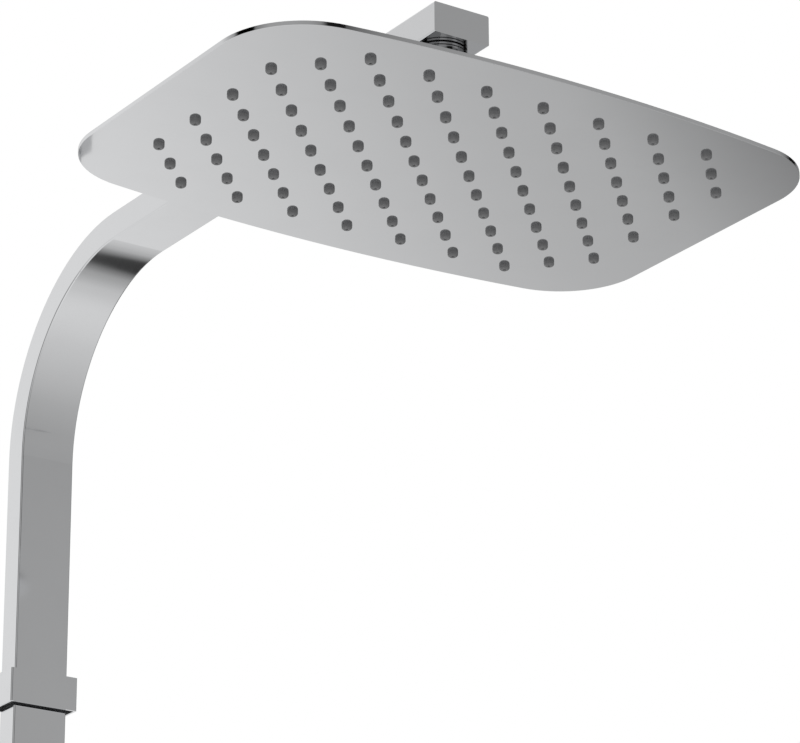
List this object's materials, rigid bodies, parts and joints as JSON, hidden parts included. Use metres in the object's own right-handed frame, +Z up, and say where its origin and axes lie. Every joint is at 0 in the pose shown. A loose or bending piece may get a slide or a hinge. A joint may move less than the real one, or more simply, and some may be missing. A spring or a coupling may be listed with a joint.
{
  "type": "rainfall shower column",
  "caption": "Wall-held rigid riser with a flat bar bent over into an arm, a slim rectangular rain head on a ball joint, and a union nut inlet.",
  "frame": {"origin": "centre of the two wall screws, on the wall's plane", "axes": "+Z up along the riser, +Y into the wall, +X along the wall, the head hangs out along -Y"},
  "size_m": [0.3, 0.5362, 0.9725],
  "materials": {
    "chrome_bar": "polished chrome on brass tube",
    "chrome_head": "polished chrome on stainless sheet",
    "chrome_fittings": "polished chrome on turned and milled brass",
    "brass": "plain machined brass",
    "steel": "plain stainless steel",
    "black_rubber": "matt black seal rubber",
    "black_plastic": "matt black acetal",
    "silicone": "dark grey silicone, satin"
  },
  "bodies": {
    "column": {"upper_arm": "chrome_bar", "arm_end_cap": "chrome_bar", "outlet_block": "brass", "flow_limiter": "black_plastic", "filter_screen": "steel", "dust_ring": "black_rubber", "swivel_nut": "chrome_fittings", "nut_washer": "black_rubber", "ball_stem": "steel", "joint_spigot": "brass", "spigot_seals": "black_rubber", "joint_screws": "steel", "lower_riser": "chrome_bar", "riser_foot": "chrome_bar", "foot_seal": "black_rubber", "inlet_tail": "steel", "inlet_washer": "black_rubber", "wall_plate": "steel", "bracket_stem": "chrome_fittings", "stem_grub_screw": "steel", "bracket_clamp": "chrome_fittings", "clamp_liner": "black_plastic", "clamp_screw": "steel", "clamp_grub_screws": "steel"},
    "swivel": {"upper_seat": "black_plastic"},
    "tilt": {"lower_seat": "black_plastic"},
    "head": {"socket_body": "chrome_fittings", "socket_nut": "chrome_fittings", "socket_seal": "black_rubber", "back_sheet": "chrome_head", "face_sheet": "chrome_head", "nozzles": "silicone"},
    "collar": {"collar_sleeve": "chrome_fittings", "collar_liner": "black_rubber"},
    "cover": {"wall_cover": "chrome_fittings", "cover_ring": "black_rubber"},
    "union": {"union_nut": "chrome_fittings"}
  },
  "joints": [
    {"name": "head_swivel", "type": "hinge", "parent": "column", "child": "swivel", "pos_m": [0, -0.4325, 0.3195], "axis": [0, 0, 1], "continuous": true},
    {"name": "head_tilt_forward", "type": "hinge", "parent": "swivel", "child": "tilt", "pos_m": [0, -0.4325, 0.3195], "axis": [1, 0, 0], "range_deg": [-10, 10]},
    {"name": "head_tilt_side", "type": "hinge", "parent": "tilt", "child": "head", "pos_m": [0, -0.4325, 0.3195], "axis": [0, 1, 0], "range_deg": [-10, 10]},
    {"name": "collar_slide", "type": "slide", "parent": "column", "child": "collar", "axis": [0, 0, 1], "range_m": [0, 0.06]},
    {"name": "cover_slide", "type": "slide", "parent": "column", "child": "cover", "axis": [0, -1, 0], "range_m": [0, 0.03]},
    {"name": "union_spin", "type": "hinge", "parent": "column", "child": "union", "pos_m": [0, -0.0625, -0.5805], "axis": [0, 0, 1], "continuous": true}
  ]
}
